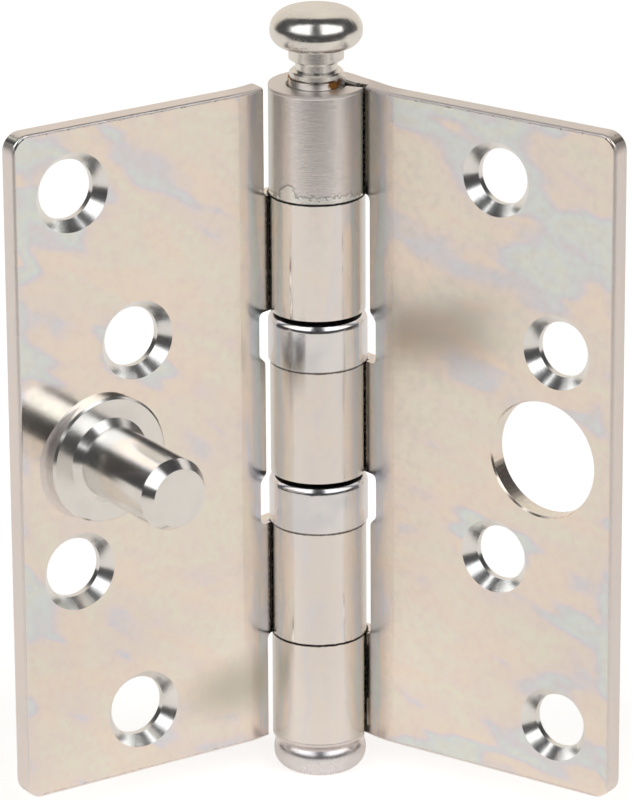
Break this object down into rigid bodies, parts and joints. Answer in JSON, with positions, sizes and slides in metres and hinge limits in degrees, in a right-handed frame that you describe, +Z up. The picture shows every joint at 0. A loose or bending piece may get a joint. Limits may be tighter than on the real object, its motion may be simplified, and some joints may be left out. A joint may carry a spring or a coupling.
{
  "type": "ball bearing butt hinge",
  "caption": "Loose-pin butt hinge with two ball bearings in its barrel, countersunk screw holes and a security stud.",
  "frame": {"origin": "on the frame leaf's flat seat, 17.5 mm from the pin axis and half way up the leaf", "axes": "+X along the frame leaf away from the pin, +Y out of the frame leaf's seat, +Z up the pin towards its head"},
  "size_m": [0.0638, 0.0467, 0.1035],
  "materials": {
    "leaf_plate": "bright zinc-nickel plate",
    "stud_steel": "turned and bright plated",
    "pin_steel": "satin plated",
    "spring_steel": "oiled spring steel",
    "bearing_shell": "drawn and bright plated",
    "race_steel": "ground",
    "cage_brass": "plain",
    "ball_steel": "polished"
  },
  "bodies": {
    "frame": {"frame_leaf": "leaf_plate", "bottom_tip": "pin_steel", "upper_bearing_shell": "bearing_shell", "upper_bearing_lower_race": "race_steel", "lower_bearing_upper_race": "race_steel"},
    "door": {"door_leaf": "leaf_plate", "security_stud": "stud_steel", "upper_bearing_upper_race": "race_steel", "lower_bearing_shell": "bearing_shell", "lower_bearing_lower_race": "race_steel"},
    "pin": {"loose_pin": "pin_steel", "pin_retaining_ring": "spring_steel"},
    "upper_ball_set": {"upper_bearing_cage": "cage_brass", "upper_bearing_ball_1": "ball_steel", "upper_bearing_ball_2": "ball_steel", "upper_bearing_ball_3": "ball_steel", "upper_bearing_ball_4": "ball_steel", "upper_bearing_ball_5": "ball_steel", "upper_bearing_ball_6": "ball_steel"},
    "lower_ball_set": {"lower_bearing_cage": "cage_brass", "lower_bearing_ball_1": "ball_steel", "lower_bearing_ball_2": "ball_steel", "lower_bearing_ball_3": "ball_steel", "lower_bearing_ball_4": "ball_steel", "lower_bearing_ball_5": "ball_steel", "lower_bearing_ball_6": "ball_steel"}
  },
  "joints": [
    {"name": "leaf_swing", "type": "hinge", "parent": "frame", "child": "door", "pos_m": [-0.0175, -0.004, 0], "axis": [0, 0, -1], "range_deg": [-111.5, 158.5]},
    {"name": "pin_lift", "type": "slide", "parent": "frame", "child": "pin", "axis": [0, 0, 1], "range_m": [-0.005, 0.086]},
    {"name": "upper_ball_roll", "type": "hinge", "parent": "frame", "child": "upper_ball_set", "pos_m": [-0.0175, -0.004, 0.0107], "axis": [0, 0, -1], "range_deg": [-55.75, 79.25]},
    {"name": "lower_ball_roll", "type": "hinge", "parent": "frame", "child": "lower_ball_set", "pos_m": [-0.0175, -0.004, -0.01145], "axis": [0, 0, -1], "range_deg": [-55.75, 79.25]}
  ],
  "couplings": [
    {"joint": "upper_ball_roll", "follows": "leaf_swing", "ratio": 0.5},
    {"joint": "lower_ball_roll", "follows": "leaf_swing", "ratio": 0.5}
  ]
}
